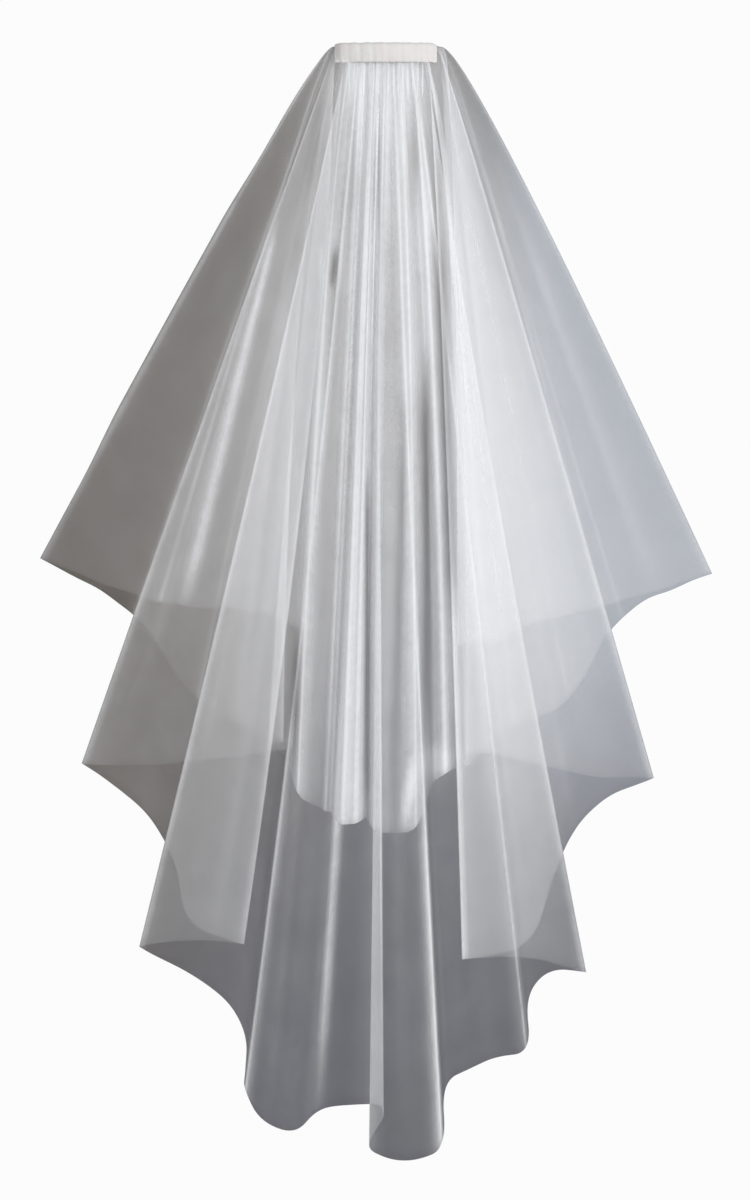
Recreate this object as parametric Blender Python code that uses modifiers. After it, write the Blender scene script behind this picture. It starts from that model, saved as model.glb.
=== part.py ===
"""Two-tier bridal veil of fine net, gathered under a heading on a hair comb.

The origin is the middle of the comb, at the roots of its teeth. +Z is up, -Y is
the outer side of the veil and +Y the side of the wearer's head. Lengths in the
tables are millimetres.
"""

import math
from collections import namedtuple

import bmesh
import bpy
from mathutils import Vector

MM = 0.001

# Cloth
NET_WALL = 1.0
NET_COLOUR = (0.86, 0.87, 0.90)
NET_ROUGHNESS = 0.75
HEADING_WIDTH = 92.0
CLOTH_TOP = 9.3
HELD_DROP = 18.0
OPENING_POWER = 0.6
PUFF_POWER = 0.5
FOLD_GAP_AT_HEAD = 1.4

# Comb
COMB_WIDTH = 68.0
COMB_RADIUS = 120.0
COMB_THICKNESS = 1.8
BAR_HEIGHT = 8.0
TOOTH_COUNT = 16
TOOTH_LENGTH = 36.0
TOOTH_WIDTH = 1.9
TOOTH_TIP_WIDTH = 1.0
TOOTH_SWEEP = 7.0
TOOTH_STEPS = 5

# Heading
HEADING_WALL = 1.0
HEADING_TOP = 12.0
HEADING_FRONT = -17.6
HEADING_BACK = 2.9
HEADING_FRONT_HEM = -6.0
HEADING_BACK_HEM = -4.0
HEADING_CORNER = 2.4
HEADING_STEPS = 18

# Mesh
UPPER_ROWS = 12
LOWER_ROWS = 13
ROW_CROWDING = 1.6
BEND_STEP = math.radians(45)
BEND_REACH = 0.48
STRAIGHT_STEP = 70.0

# One row for each fold line, from the left raw edge to the right one.
# gather: where it starts along the heading, from 0 at the left end to 1 at the right.
# head: its depth under the heading. x, depth and drop: its end at the hem.
# gap: the width of a doubled fold there, 0 for a soft wave.
# bow: how much sooner (+) or later (-) than a straight line it spreads sideways.
# A fold that spreads sooner puffs out right under the heading.
Fold = namedtuple("Fold", "name gather head x depth drop gap bow")

UPPER_FOLDS = [
    Fold("raw edge left", 0.000, -7.9, -74, -20, 527, 0, -0.60),
    Fold("edge pass left, in", 0.018, -8.6, -118, -24, 507, 0, 0.10),
    Fold("edge pass left, out", 0.034, -9.4, -200, -30, 506, 0, 0.15),
    Fold("wing tip left", 0.054, -10.9, -311, -38, 462, 5, 0.16),
    Fold("return left, out", 0.084, -11.4, -222, -44, 509, 0, 0.14),
    Fold("return left, in", 0.090, -11.4, -178, -47, 594, 0, 0.10),
    Fold("inner fold left", 0.113, -12.1, -84, -50, 627, 5, -0.20),
    Fold("back pleat left", 0.137, -13.5, -102, -58, 629, 5, -0.20),
    Fold("flute 1 side", 0.162, -14.2, -84, -62, 636, 0, -0.20),
    Fold("flute 1 front", 0.195, -14.5, -78, -82, 676, 0, -0.20),
    Fold("flute 1 dip", 0.230, -12.4, -60, -70, 684, 0, -0.15),
    Fold("flute 2 front", 0.270, -14.3, -54, -78, 690, 0, -0.15),
    Fold("flute 2 valley", 0.310, -11.9, -49, -58, 688, 0, -0.15),
    Fold("flute 3 left", 0.350, -14.3, -43, -88, 701, 0, -0.15),
    Fold("flute 3 dip", 0.390, -12.4, -33, -84, 701, 0, -0.15),
    Fold("flute 3 right", 0.430, -14.3, -20, -88, 700, 0, -0.15),
    Fold("flute 3 valley", 0.470, -11.9, -17, -54, 692, 0, -0.15),
    Fold("flute 4 left", 0.515, -14.3, -13, -90, 706, 0, -0.15),
    Fold("flute 4 dip", 0.560, -12.2, 6, -84, 708, 0, -0.15),
    Fold("flute 4 right", 0.605, -14.3, 28, -92, 708, 0, -0.15),
    Fold("flute 4 valley", 0.655, -11.9, 32, -58, 680, 0, -0.15),
    Fold("flute 5 front", 0.705, -14.3, 44, -74, 658, 0, 0.00),
    Fold("flute 5 valley", 0.755, -11.9, 50, -52, 652, 0, 0.00),
    Fold("flute 6 front", 0.810, -14.3, 63, -70, 650, 0, 0.05),
    Fold("flute 6 dip", 0.860, -12.2, 80, -56, 636, 0, 0.05),
    Fold("inner fold right", 0.880, -12.6, 112, -54, 612, 0, 0.05),
    Fold("return right, in", 0.903, -11.8, 166, -50, 596, 0, 0.12),
    Fold("return right, out", 0.915, -11.6, 207, -46, 509, 0, 0.15),
    Fold("wing tip right", 0.938, -10.9, 293, -40, 476, 5, 0.18),
    Fold("edge pass right, out", 0.958, -9.5, 190, -33, 507, 0, 0.20),
    Fold("edge pass right, mid", 0.972, -9.0, 122, -29, 523, 0, 0.24),
    Fold("edge pass right, in", 0.985, -8.5, 104, -26, 540, 0, 0.23),
    Fold("raw edge right", 1.000, -7.9, 63, -22, 540, 0, 0.40),
]

LOWER_FOLDS = [
    Fold("raw edge left", 0.000, -0.7, -85, 88, 634, 0, -0.40),
    Fold("edge pass left, in", 0.012, -1.0, -160, 84, 645, 0, -0.10),
    Fold("edge pass left, out", 0.022, -1.3, -235, 79, 651, 0, 0.00),
    Fold("wing tip left", 0.040, -2.1, -276, 74, 648, 5, 0.03),
    Fold("return left, out", 0.062, -2.8, -222, 70, 684, 0, 0.00),
    Fold("return left, mid", 0.070, -2.8, -190, 66, 734, 0, -0.05),
    Fold("return left, low", 0.078, -2.8, -182, 63, 796, 0, -0.15),
    Fold("flap fold left", 0.100, -3.5, -120, 56, 811, 5, -0.40),
    Fold("flap left", 0.118, -4.2, -178, 49, 806, 0, -0.15),
    Fold("second tip left", 0.136, -4.9, -223, 40, 813, 5, -0.05),
    Fold("pass left, out", 0.156, -5.9, -150, 30, 852, 0, -0.10),
    Fold("pass left, in", 0.176, -6.2, -125, 26, 890, 0, -0.25),
    Fold("flute 1 side", 0.200, -5.1, -127, 6, 945, 0, -0.25),
    Fold("flute 1 left", 0.235, -7.5, -118, -10, 971, 0, -0.25),
    Fold("flute 1 front", 0.270, -5.4, -92, -12, 977, 0, -0.25),
    Fold("flute 1 right", 0.305, -7.5, -70, -4, 975, 0, -0.25),
    Fold("flute 1 valley", 0.345, -5.1, -66, 22, 958, 0, -0.25),
    Fold("flute 2 front", 0.380, -7.5, -42, 17, 955, 0, -0.20),
    Fold("flute 2 valley", 0.415, -5.1, -18, 24, 955, 0, -0.20),
    Fold("flute 3 left", 0.450, -7.5, -17, -12, 992, 0, -0.20),
    Fold("flute 3 dip", 0.490, -5.8, 2, -12, 1004, 0, -0.25),
    Fold("flute 3 front", 0.530, -7.5, 28, -15, 1004, 0, -0.25),
    Fold("flute 3 right", 0.570, -6.0, 56, -8, 994, 0, -0.25),
    Fold("flute 3 valley", 0.605, -5.1, 50, 24, 935, 0, -0.20),
    Fold("flute 4 front", 0.645, -7.5, 78, 20, 921, 0, -0.05),
    Fold("flute 4 valley", 0.685, -5.1, 98, 28, 913, 0, 0.00),
    Fold("flute 5 front", 0.725, -7.5, 130, 12, 908, 0, 0.08),
    Fold("flute 5 side", 0.765, -5.5, 126, 32, 858, 0, 0.05),
    Fold("pass right, out", 0.820, -5.9, 145, 36, 833, 0, -0.05),
    Fold("second tip right", 0.858, -4.9, 181, 40, 836, 5, -0.10),
    Fold("flap right", 0.877, -4.2, 125, 49, 821, 0, 0.10),
    Fold("flap fold right", 0.896, -3.5, 64, 56, 825, 5, 0.30),
    Fold("return right, low", 0.919, -2.8, 134, 63, 816, 0, 0.10),
    Fold("return right, mid", 0.927, -2.8, 154, 66, 738, 0, 0.10),
    Fold("return right, out", 0.935, -2.8, 186, 70, 684, 0, 0.06),
    Fold("wing tip right", 0.958, -2.1, 243, 74, 661, 5, 0.06),
    Fold("edge pass right, out", 0.976, -1.3, 180, 79, 660, 0, 0.10),
    Fold("edge pass right, in", 0.987, -1.0, 110, 84, 641, 0, 0.15),
    Fold("raw edge right", 1.000, -0.7, 72, 88, 638, 0, 0.30),
]


def clear_scene():
    for obj in list(bpy.data.objects):
        bpy.data.objects.remove(obj, do_unlink=True)


def principled(name, colour, roughness):
    material = bpy.data.materials.new(name)
    material.use_nodes = True
    shader = material.node_tree.nodes["Principled BSDF"]
    shader.inputs["Base Color"].default_value = (*colour, 1.0)
    shader.inputs["Roughness"].default_value = roughness
    shader.inputs["Metallic"].default_value = 0.0
    return material


def comb_arc(x):
    """Depth by which the comb, curved to the head, falls back at x."""
    return COMB_RADIUS - math.sqrt(COMB_RADIUS**2 - x**2)


def fold_point(fold, share, side):
    """Point on a fold line at this share of its drop.

    side is 0 on a soft wave, and -1 or 1 on the two layers of a doubled fold.
    """
    held = HELD_DROP / fold.drop
    opened = max(0.0, (share - held) / (1 - held)) ** OPENING_POWER
    spread = share + fold.bow * share ** (PUFF_POWER if fold.bow > 0 else 1.0) * (1 - share)
    head_x = (fold.gather - 0.5) * HEADING_WIDTH
    gap = FOLD_GAP_AT_HEAD + (fold.gap - FOLD_GAP_AT_HEAD) * opened
    depth = fold.head + (fold.depth - fold.head) * opened + side * gap / 2
    return Vector((
        head_x + (fold.x - head_x) * spread,
        comb_arc(head_x) + depth,
        CLOTH_TOP - fold.drop * share,
    ))


def fold_points(folds, share):
    """Corner points across the cloth at one share of its drop, and which of them are doubled."""
    points = []
    doubled = []
    for index, fold in enumerate(folds):
        if fold.gap == 0:
            points.append(fold_point(fold, share, 0))
            doubled.append(False)
            continue
        towards_back = folds[index - 1].depth > folds[index + 1].depth
        first = 1 if towards_back else -1
        points.append(fold_point(fold, share, first))
        points.append(fold_point(fold, share, -first))
        doubled += [True, True]
    return points, doubled


def bend_counts(points):
    """Samples at each corner of the hem, and on the straight run after it."""
    bends = [1]
    for before, here, after in zip(points, points[1:], points[2:]):
        turn = (here - before).xy.angle((after - here).xy)
        bends.append(1 + round(turn / BEND_STEP))
    bends.append(1)
    runs = [int((b - a).length / STRAIGHT_STEP) for a, b in zip(points, points[1:])]
    return bends, runs


def rounded_line(points, doubled, bends, runs):
    """Smooth line with every inner corner replaced by a soft bend."""
    line = [points[0]]
    for index in range(1, len(points) - 1):
        before = points[index - 1] - points[index]
        after = points[index + 1] - points[index]
        reach_before = BEND_REACH
        reach_after = BEND_REACH
        if doubled[index]:
            shorter = min(before.length, after.length)
            reach_before *= shorter / before.length
            reach_after *= shorter / after.length
        start = points[index] + before * reach_before
        end = points[index] + after * reach_after
        first = bend_sample(start, points[index], end, 0, bends[index])
        add_run(line, first, runs[index - 1])
        for step in range(bends[index]):
            line.append(bend_sample(start, points[index], end, step, bends[index]))
    add_run(line, points[-1], runs[-1])
    line.append(points[-1])
    return line


def bend_sample(start, corner, end, step, count):
    t = (step + 0.5) / count
    return start * (1 - t) ** 2 + corner * 2 * t * (1 - t) + end * t**2


def add_run(line, target, count):
    """Evenly spaced points from the end of the line towards the target."""
    origin = line[-1]
    for step in range(1, count + 1):
        line.append(origin.lerp(target, step / (count + 1)))


def sheet_from_rows(name, rows, wall, material, collection):
    """Open grid through the rows of points, given its thickness by Solidify."""
    mesh = bpy.data.meshes.new(name)
    build = bmesh.new()
    grid = [[build.verts.new(point * MM) for point in row] for row in rows]
    for upper, lower in zip(grid, grid[1:]):
        for column in range(len(upper) - 1):
            build.faces.new((
                upper[column],
                lower[column],
                lower[column + 1],
                upper[column + 1],
            ))
    build.to_mesh(mesh)
    build.free()
    mesh.materials.append(material)
    mesh.shade_smooth()
    obj = bpy.data.objects.new(name, mesh)
    collection.objects.link(obj)
    add_wall(obj, wall)
    return obj


def add_wall(obj, thickness):
    solidify = obj.modifiers.new("Wall", "SOLIDIFY")
    solidify.thickness = thickness * MM
    solidify.offset = 0.0
    solidify.use_rim = True


def make_tier(name, folds, row_count, material, collection):
    points, _ = fold_points(folds, 1.0)
    bends, runs = bend_counts(points)
    rows = []
    for row in range(row_count + 1):
        share = (row / row_count) ** ROW_CROWDING
        points, doubled = fold_points(folds, share)
        rows.append(rounded_line(points, doubled, bends, runs))
    return sheet_from_rows(name, rows, NET_WALL, material, collection)


def heading_section():
    """Depth and height along the folded strip, from its front hem over the top to its back hem."""
    corner = HEADING_CORNER
    soft = corner * (1 - math.sqrt(0.5))
    top = HEADING_TOP - HEADING_WALL / 2
    return [
        (HEADING_FRONT, HEADING_FRONT_HEM),
        (HEADING_FRONT, top - corner),
        (HEADING_FRONT + soft, top - soft),
        (HEADING_FRONT + corner, top),
        (HEADING_BACK - corner, top),
        (HEADING_BACK - soft, top - soft),
        (HEADING_BACK, top - corner),
        (HEADING_BACK, HEADING_BACK_HEM),
    ]


def make_heading(material, collection):
    rows = []
    for depth, height in heading_section():
        row = []
        for step in range(HEADING_STEPS + 1):
            x = (step / HEADING_STEPS - 0.5) * HEADING_WIDTH
            row.append(Vector((x, comb_arc(x) + depth, height)))
        rows.append(row)
    return sheet_from_rows("heading", rows[::-1], HEADING_WALL, material, collection)


def tooth_edges(tooth, share):
    """Left and right x of a tooth at this share of its length."""
    pitch = (COMB_WIDTH - TOOTH_WIDTH) / (TOOTH_COUNT - 1)
    middle = tooth * pitch - (COMB_WIDTH - TOOTH_WIDTH) / 2
    width = TOOTH_WIDTH + (TOOTH_TIP_WIDTH - TOOTH_WIDTH) * share**2
    return middle - width / 2, middle + width / 2


def comb_point(x, height):
    """Point of the curved comb. Its teeth sweep back towards the head."""
    below = max(0.0, -height / TOOTH_LENGTH)
    return Vector((x, comb_arc(x) + TOOTH_SWEEP * below**2, height)) * MM


def make_comb(material, collection):
    mesh = bpy.data.meshes.new("comb")
    build = bmesh.new()
    edges = [x for tooth in range(TOOTH_COUNT) for x in tooth_edges(tooth, 0.0)]
    top = [build.verts.new(comb_point(x, BAR_HEIGHT)) for x in edges]
    root = [build.verts.new(comb_point(x, 0.0)) for x in edges]
    for index in range(len(edges) - 1):
        build.faces.new((top[index], root[index], root[index + 1], top[index + 1]))
    for tooth in range(TOOTH_COUNT):
        left, right = root[2 * tooth], root[2 * tooth + 1]
        for step in range(1, TOOTH_STEPS + 1):
            share = step / TOOTH_STEPS
            height = -TOOTH_LENGTH * share
            low = [build.verts.new(comb_point(x, height)) for x in tooth_edges(tooth, share)]
            build.faces.new((left, low[0], low[1], right))
            left, right = low
    build.to_mesh(mesh)
    build.free()
    mesh.materials.append(material)
    obj = bpy.data.objects.new("comb", mesh)
    collection.objects.link(obj)
    add_wall(obj, COMB_THICKNESS)
    return obj


def main():
    clear_scene()
    veil = bpy.data.collections.new("bridal_veil")
    bpy.context.scene.collection.children.link(veil)
    upper_net = principled("upper net", NET_COLOUR, NET_ROUGHNESS)
    lower_net = principled("lower net", NET_COLOUR, NET_ROUGHNESS)
    strip = principled("white heading strip", (0.92, 0.89, 0.88), 0.7)
    plastic = principled("clear comb plastic", (0.88, 0.89, 0.90), 0.25)
    make_tier("upper_tier", UPPER_FOLDS, UPPER_ROWS, upper_net, veil)
    make_tier("lower_tier", LOWER_FOLDS, LOWER_ROWS, lower_net, veil)
    make_heading(strip, veil)
    make_comb(plastic, veil)


main()
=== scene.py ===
import math

import bpy
import numpy as np
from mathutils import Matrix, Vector


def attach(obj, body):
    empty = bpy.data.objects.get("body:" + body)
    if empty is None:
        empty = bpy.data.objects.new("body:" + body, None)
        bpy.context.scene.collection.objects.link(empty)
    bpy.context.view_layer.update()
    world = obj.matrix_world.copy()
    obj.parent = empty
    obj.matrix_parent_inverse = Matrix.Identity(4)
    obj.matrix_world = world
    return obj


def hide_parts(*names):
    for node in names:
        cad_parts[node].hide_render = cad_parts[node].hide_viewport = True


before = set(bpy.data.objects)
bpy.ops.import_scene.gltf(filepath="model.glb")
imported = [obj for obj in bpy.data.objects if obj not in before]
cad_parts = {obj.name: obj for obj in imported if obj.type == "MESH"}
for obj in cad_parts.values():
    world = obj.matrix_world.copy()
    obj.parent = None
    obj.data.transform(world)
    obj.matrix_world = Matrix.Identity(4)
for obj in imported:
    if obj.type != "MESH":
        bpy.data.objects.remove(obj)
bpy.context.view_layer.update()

mm = 0.001


# Wire holds one node socket, so that maths on sockets reads as plain expressions.
class Wire:
    def __init__(self, home, socket):
        self.home = home
        self.socket = socket

    def maths(self, operation, *values):
        return self.home.node("ShaderNodeMath", {"operation": operation}, list(values))

    def __add__(self, other):
        return self.maths("ADD", self, other)

    __radd__ = __add__

    def __sub__(self, other):
        return self.maths("SUBTRACT", self, other)

    def __rsub__(self, other):
        return self.maths("SUBTRACT", other, self)

    def __mul__(self, other):
        return self.maths("MULTIPLY", self, other)

    __rmul__ = __mul__

    def __truediv__(self, other):
        return self.maths("DIVIDE", self, other)

    def __pow__(self, other):
        return self.maths("POWER", self, other)

    def atMost(self, other):
        return self.maths("MINIMUM", self, other)

    def atLeast(self, other):
        return self.maths("MAXIMUM", self, other)

    def sine(self):
        return self.maths("SINE", self)

    def cosine(self):
        return self.maths("COSINE", self)


# NodeWriter adds nodes to a tree. Its node method takes the settings first, then the sockets.
class NodeWriter:
    def __init__(self, tree):
        self.tree = tree

    def node(self, kind, settings=None, sockets=None, output=0):
        made = self.tree.nodes.new(kind)
        for name, value in (settings or {}).items():
            setattr(made, name, value)
        if isinstance(sockets, list):
            sockets = dict(enumerate(sockets))
        for name, value in (sockets or {}).items():
            socket = made.inputs[name]
            if isinstance(value, Wire):
                self.tree.links.new(value.socket, socket)
            else:
                socket.default_value = value
        return Wire(self, made.outputs[output]) if made.outputs else made

    def ramp(self, value, low, high, start=0.0, end=1.0):
        return self.node(
            "ShaderNodeMapRange", {"interpolation_type": "SMOOTHSTEP"}, [value, low, high, start, end]
        )


# Paint writes one material or world.
class Paint(NodeWriter):
    def __init__(self, owner):
        owner.use_nodes = True
        owner.node_tree.nodes.clear()
        super().__init__(owner.node_tree)
        self.owner = owner

    def mixColour(self, share, first, second):
        return self.node(
            "ShaderNodeMix", {"data_type": "RGBA"}, {0: share, 6: first, 7: second}, output=2
        )

    def surface(self, **sockets):
        shader = self.node("ShaderNodeBsdfPrincipled", {}, {
            name.replace("_", " "): value for name, value in sockets.items()
        })
        self.node("ShaderNodeOutputMaterial", {}, {"Surface": shader})
        return self.owner


def newPaint(name):
    return Paint(bpy.data.materials.new(name))


# Recipe writes one Geometry Nodes tree with named inputs, and turns its result into a plain mesh.
class Recipe(NodeWriter):
    kinds = {int: "NodeSocketInt", float: "NodeSocketFloat"}

    def __init__(self, name, sizes):
        tree = bpy.data.node_groups.new(name, "GeometryNodeTree")
        tree.interface.new_socket("Geometry", in_out="OUTPUT", socket_type="NodeSocketGeometry")
        for label, value in sizes.items():
            tree.interface.new_socket(label, in_out="INPUT", socket_type=self.kinds[type(value)])
        tree.interface.new_socket("material", in_out="INPUT", socket_type="NodeSocketMaterial")
        super().__init__(tree)
        self.sizes = sizes
        self.given = tree.nodes.new("NodeGroupInput")

    def size(self, label):
        return Wire(self, self.given.outputs[label])

    def point(self, x=0.0, y=0.0, z=0.0):
        return self.node("ShaderNodeCombineXYZ", {}, [x, y, z])

    def position(self, axis):
        where = self.node("GeometryNodeInputPosition")
        return self.node("ShaderNodeSeparateXYZ", {}, [where], output=axis)

    def make(self, name, geometry, material):
        realized = self.node("GeometryNodeRealizeInstances", {}, {"Geometry": geometry})
        painted = self.node(
            "GeometryNodeSetMaterial", {}, {"Geometry": realized, "Material": self.size("material")}
        )
        self.node("NodeGroupOutput", {}, [painted])
        maker = bpy.data.objects.new(name + "Maker", bpy.data.meshes.new(name + "Maker"))
        bpy.context.scene.collection.objects.link(maker)
        modifier = maker.modifiers.new("recipe", "NODES")
        modifier.node_group = self.tree
        values = dict(self.sizes, material=material)
        for socket in self.tree.interface.items_tree:
            if socket.in_out == "INPUT":
                modifier[socket.identifier] = values[socket.name]
        ready = maker.evaluated_get(bpy.context.evaluated_depsgraph_get())
        mesh = bpy.data.meshes.new_from_object(ready)
        mesh.name = name
        bpy.data.objects.remove(maker)
        obj = bpy.data.objects.new(name, mesh)
        bpy.context.scene.collection.objects.link(obj)
        print(name, "triangles", sum(len(face.vertices) - 2 for face in mesh.polygons))
        return obj


# Camera: level, straight at the outer side, and far off, so that the depth of the folds hardly changes
# their size. Metres; sensor in mm.
camera = {
    "distance": 12.0,
    "middle": (-0.0099, -0.02, -0.4902),
    "frameHeight": 1.08,
    "sensor": 36.0,
}


def makeCamera():
    data = bpy.data.cameras.new("camera")
    data.sensor_width = camera["sensor"]
    data.lens = camera["sensor"] * camera["distance"] / camera["frameHeight"]
    data.clip_end = 100.0
    obj = bpy.data.objects.new("camera", data)
    x, y, z = camera["middle"]
    obj.location = (x, y - camera["distance"], z)
    obj.rotation_euler = (math.radians(90), 0, 0)
    bpy.context.scene.collection.objects.link(obj)
    bpy.context.scene.camera = obj
    print("camera placed")


makeCamera()

# How both tiers hang, in mm. Shares run from 0 at the heading to 1 at the hem.
hanging = {
    "headingWidth": 92.0,
    "combRadius": 120.0,
    "clothTop": 9.3,  # above the comb's roots
    "heldDrop": 18.0,  # length that the heading keeps at its own depth
    "openingPower": 0.6,  # how fast the folds deepen below it
    "puffPower": 0.5,  # how fast early folds spread sideways
    "endPuffPower": 0.2,  # the same near both ends of the heading
    "endReach": 0.1,  # share of the heading that counts as near
    "layerGapAtHead": 1.4,  # between both sides of a doubled fold
    "bendReach": 0.48,  # share of a run that bends at each end
    "rowCrowding": 1.3,  # rows crowd towards the heading
    "headReach": 0.06,  # share of the drop with the full gathers
    "headFade": 0.05,  # and how fast they thin out below
    "lineSpacing": 1.2,  # of the fine columns on a bright fold line
    "lineColumns": 3,  # of these on each side of it
    "lineWidth": (0.35, 1.6),  # of a bright fold line: at the heading, and what it gains
    "lineUnevenness": 0.25,
    "lineSwings": 9,
}

# Fold lines in mm, with drops measured from the top of the cloth. The columns are: name, place along the
# heading from 0 to 1, depth at the heading, x, depth and drop at the hem, width of a doubled fold there, and
# how much sooner (+) or later (-) the fold spreads sideways. Then come the layers of net gathered there at
# the top, halfway and at the hem, and how many more lie on the fold line itself.
upperFolds = [
    ("raw edge left", 0.000, -7.9, -74, -20, 527, 0, -0.60, 2.4, 1.7, 1.3, 3),
    ("edge pass left, in", 0.018, -8.6, -118, -24, 507, 0, 0.07, 1.5, 1.6, 1.2, 0),
    ("edge pass left, out", 0.034, -9.4, -200, -30, 506, 0, 0.11, 1.7, 1.3, 1.0, 3),
    ("wing tip left", 0.054, -10.9, -311, -38, 462, 5, 0.085, 1.8, 1.12, 0.85, 1.5),
    ("return left, out", 0.084, -11.4, -222, -44, 509, 0, 0.08, 1.7, 1.1, 0.9, 2),
    ("return left, in", 0.090, -11.4, -173, -47, 594, 0, 0.07, 1.8, 1.35, 0.5, 1.5),
    ("inner fold left", 0.113, -12.1, -92, -50, 627, 5, 0.9, 3.0, 2.9, 0.7, 1),
    ("back pleat left", 0.137, -13.5, -106, -58, 629, 5, 0.5, 4.5, 2.1, 0.7, 1),
    ("flute 1 side", 0.162, -14.2, -90, -62, 636, 0, 0.55, 7.0, 1.8, 0.6, 0),
    ("flute 1 front", 0.195, -14.5, -80, -82, 676, 0, 0.50, 11, 8.0, 4.0, 12),
    ("flute 1 dip", 0.230, -12.4, -62, -70, 684, 0, 0.10, 9.0, 4.0, 1.4, 0),
    ("flute 2 front", 0.270, -14.3, -54, -78, 690, 0, 0.00, 9, 5.6, 1.6, 2),
    ("flute 2 valley", 0.310, -11.9, -49, -58, 688, 0, 0.00, 7, 4.2, 2.2, 0),
    ("flute 3 left", 0.350, -14.3, -43, -88, 701, 0, 0.00, 7, 12.5, 15.0, 8),
    ("flute 3 dip", 0.390, -12.4, -34, -84, 701, 0, 0.10, 6, 11.0, 13.0, 0),
    ("flute 3 right", 0.430, -14.3, -26, -88, 700, 0, 0.40, 7, 11.0, 13.0, 6),
    ("flute 3 valley", 0.470, -11.9, -17, -54, 692, 0, 0.70, 6, 2.2, 1.6, 0),
    ("flute 4 left", 0.515, -14.3, -13, -90, 706, 0, 0.70, 7, 7.0, 4.8, 8),
    ("flute 4 dip", 0.560, -12.2, 6, -84, 708, 0, 0.10, 6, 6.0, 2.8, 0),
    ("flute 4 right", 0.605, -14.3, 28, -92, 708, 0, 0.80, 7.5, 8.0, 6.0, 8),
    ("flute 4 valley", 0.655, -11.9, 40, -58, 664, 0, 0.80, 6.5, 1.2, 1.0, 0),
    ("flute 5 front", 0.705, -14.3, 54, -74, 654, 0, 0.60, 7, 10.0, 7.0, 5),
    ("flute 5 valley", 0.755, -11.9, 63, -52, 650, 0, 0.8, 5, 1.2, 1.2, 0),
    ("flute 6 front", 0.810, -14.3, 72, -70, 650, 0, 1.2, 4.2, 3.3, 2.8, 2),
    ("flute 6 dip", 0.860, -12.2, 86, -56, 636, 0, 0.6, 3.2, 3.1, 2.4, 0),
    ("inner fold right", 0.880, -12.6, 112, -54, 612, 0, 0.05, 3.2, 4.5, 2.4, 3),
    ("return right, in", 0.903, -11.8, 166, -50, 596, 0, 0.085, 2.4, 4.0, 3.0, 2),
    ("return right, out", 0.915, -11.6, 207, -46, 509, 0, 0.105, 2.2, 2.3, 2.2, 2),
    ("wing tip right", 0.938, -10.9, 293, -40, 476, 5, 0.13, 1.8, 1.3, 1.5, 1.5),
    ("edge pass right, out", 0.958, -9.5, 190, -33, 507, 0, 0.14, 2.0, 2.4, 2.0, 2),
    ("edge pass right, mid", 0.972, -9.0, 122, -29, 523, 0, 0.17, 2.4, 4.0, 3.2, 0),
    ("edge pass right, in", 0.985, -8.5, 104, -26, 540, 0, 0.16, 2.8, 3.7, 3.2, 0),
    ("raw edge right", 1.000, -7.9, 64, -22, 540, 0, 1.0, 3.2, 3.5, 3.0, 4),
]

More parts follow.
